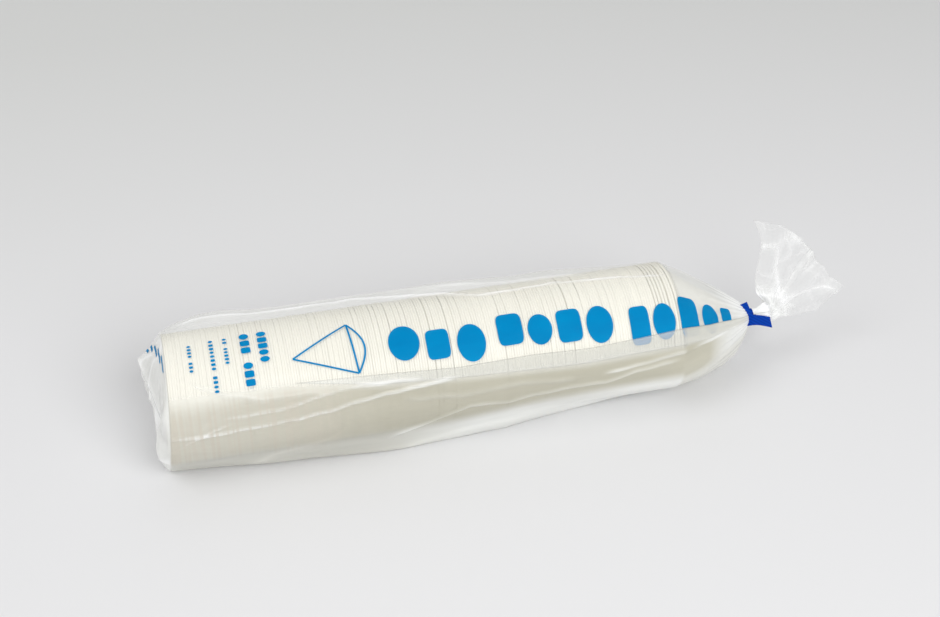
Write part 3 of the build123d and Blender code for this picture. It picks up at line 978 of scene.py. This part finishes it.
def tieRibbon(finish):
    look = tieLook
    turn, tip = math.radians(look["turn"]), math.radians(look["tip"])
    right = Vector((math.cos(turn), -math.sin(turn), 0))
    facing = Vector((-math.sin(turn) * math.sin(tip), -math.cos(turn) * math.sin(tip), math.cos(tip)))
    up = facing.cross(right)
    middle = Vector((neckStart + look["place"], 0, neckHeight))
    front = middle + facing * look["rise"]
    doubled = look["thick"] * look["doubled"]
    shares = np.linspace(0, 1, look["steps"])

    collar = middle - Vector((look["collar"], 0, 0))
    radius = neckRadius + look["collarGap"]
    turns = np.linspace(0, 2 * math.pi, look["collarSteps"])
    loop = [collar + Vector((0, radius * math.sin(a), radius * math.cos(a))) for a in turns]
    count = len(loop)
    wide = look["width"] * look["collarWidth"]
    band = strip("tieBand", loop, [wide] * count, [Vector((1, 0, 0))] * count, look["thick"])

    line, widths, ways = [], [], []
    for t in shares:
        across = look["longStart"] + look["longRun"] * t
        tall = look["longSway"] * math.sin(t * 4) - look["longDrop"]
        line.append(front + right * across + up * tall + facing * (look["longRipple"] * math.sin(t * 5)))
        widths.append(look["width"] * (look["longLeast"] + look["longFlare"] * (t - look["longWaist"]) ** 2))
        ways.append((up + right * (look["longLean"] - look["longTwist"] * t)).normalized())
    longEnd = strip("tieLongEnd", line, widths, ways, doubled)

    lean = math.radians(look["shortLean"])
    way = right * math.cos(lean) + up * math.sin(lean)
    across = right * math.sin(lean) - up * math.cos(lean)
    sideways, tall, out = look["shortStart"]
    start = front + right * sideways + up * tall + facing * out
    line, widths = [], []
    for t in shares:
        line.append(start + way * look["shortRun"] * t + facing * look["shortRipple"] * math.sin(t * 4))
        widths.append(look["shortWidth"] + look["shortFlare"] * abs(t - look["shortWaist"]))
    shortEnd = strip("tieShortEnd", line, widths, [across] * len(line), doubled)

    count = look["knotSteps"]
    root = middle - up * look["knotDrop"] - right * look["knotSide"]
    line = [root + facing * (radius + look["knotRun"] * t) for t in np.linspace(0, 1, count)]
    knot = strip("tieKnot", line, [look["knotWidth"]] * count, [right] * count, look["knotThick"])
    keep(joined("tieRibbon", band, longEnd, shortEnd, knot), finish, "tie_plastic", "tie")


# Stage: the floor's colour darkens from near to far, a painted shade for light that falls off, and the camera
# sees a pale backdrop past it
stageLook = {
    "floor": 5.0, "floorMiddle": (0, 0.6, 0), "near": (0.75, 0.75, 0.757, 1), "far": (0.695, 0.70, 0.69, 1),
    "farFrom": 0.13, "farRate": 2.5, "roomLight": 0.42, "backdrop": 0.496, "aim": (0, 0, 0.03),
    # name, place, size and power
    "lamps": [
        ("front", (0.5, -1.4, 1.3), 1.3, 21.5),
        ("left", (-1.2, -0.3, 1.8), 1.4, 14.0),
        ("back", (0.2, 1.1, 1.8), 2.2, 4.5),
    ],
    # the camera fitted to the photo, with its focal length and the photo's width in pixels
    "camera": (-0.1549, -0.8232, 0.7914), "yaw": 13, "pitch": 40, "sensor": 36, "focal": 1700, "width": 940,
}


def stage():
    clear()
    look = stageLook
    bpy.ops.mesh.primitive_plane_add(size=look["floor"], location=look["floorMiddle"])
    floor = bpy.context.object
    floor.name = "floor"
    bpy.ops.object.transform_apply(location=True)
    cloth = Finish("paleFloor", Roughness=0.7, Specular_IOR_Level=0.2)
    place = cloth.node("SeparateXYZ", out="Y", Vector=cloth.place())
    share = ((place - look["farFrom"]) * look["farRate"]).clamped()
    # painted shade: the floor is darker towards the back
    cloth.set(Base_Color=cloth.mix(share, look["near"], look["far"]))
    floor.data.materials.append(cloth.material)


def room():
    world = bpy.data.worlds.new("room")
    bpy.context.scene.world = world
    world.use_nodes = True
    tree = world.node_tree
    light = tree.nodes["Background"]
    seen = tree.nodes.new("ShaderNodeBackground")
    for node, strength in ((light, stageLook["roomLight"]), (seen, stageLook["backdrop"])):
        node.inputs["Color"].default_value = (1, 1, 1, 1)
        node.inputs["Strength"].default_value = strength
    path = tree.nodes.new("ShaderNodeLightPath")
    direct = Wire(tree, path.outputs["Is Camera Ray"])
    for kind in ("Is Glossy Ray", "Is Transmission Ray"):
        direct = direct.maths("MAXIMUM", direct, Wire(tree, path.outputs[kind]))
    which = tree.nodes.new("ShaderNodeMixShader")
    plug(tree, which.inputs[0], direct)
    tree.links.new(light.outputs[0], which.inputs[1])
    tree.links.new(seen.outputs[0], which.inputs[2])
    tree.links.new(which.outputs[0], tree.nodes["World Output"].inputs[0])


def lamp(name, place, size, power):
    light = bpy.data.lights.new(name, "AREA")
    light.shape = "DISK"
    light.size = size
    light.energy = power
    obj = bpy.data.objects.new(name, light)
    obj.location = place
    aim = Vector(stageLook["aim"]) - Vector(place)
    obj.rotation_euler = aim.to_track_quat("-Z", "Y").to_euler()
    bpy.context.scene.collection.objects.link(obj)


def viewpoint():
    look = stageLook
    yaw, pitch = math.radians(look["yaw"]), math.radians(look["pitch"])
    level = math.cos(pitch)
    forward = Vector((math.sin(yaw) * level, math.cos(yaw) * level, -math.sin(pitch)))
    data = bpy.data.cameras.new("camera")
    data.sensor_width = look["sensor"]
    data.lens = look["focal"] / look["width"] * look["sensor"]
    camera = bpy.data.objects.new("camera", data)
    camera.location = look["camera"]
    camera.rotation_euler = forward.to_track_quat("-Z", "Y").to_euler()
    bpy.context.scene.collection.objects.link(camera)
    bpy.context.scene.camera = camera


stage()
room()
for settings in stageLook["lamps"]:
    lamp(*settings)
viewpoint()
print("stage, lights and camera are set")
random.seed(7)
paper = paperFinish()
keep(joined("cupStack", cupRims(), nestedBody()), paper, "paper", "cup_stack")
endCup(paper)
print("cups are done")
filmPoints = filmSleeve(filmFinish())
printFields(inkFinish(), filmPoints)
print("print is done")
tieRibbon(ribbonFinish())
print("tie is done")

bpy.context.scene.view_settings.view_transform = "Standard"
bpy.context.view_layer.update()
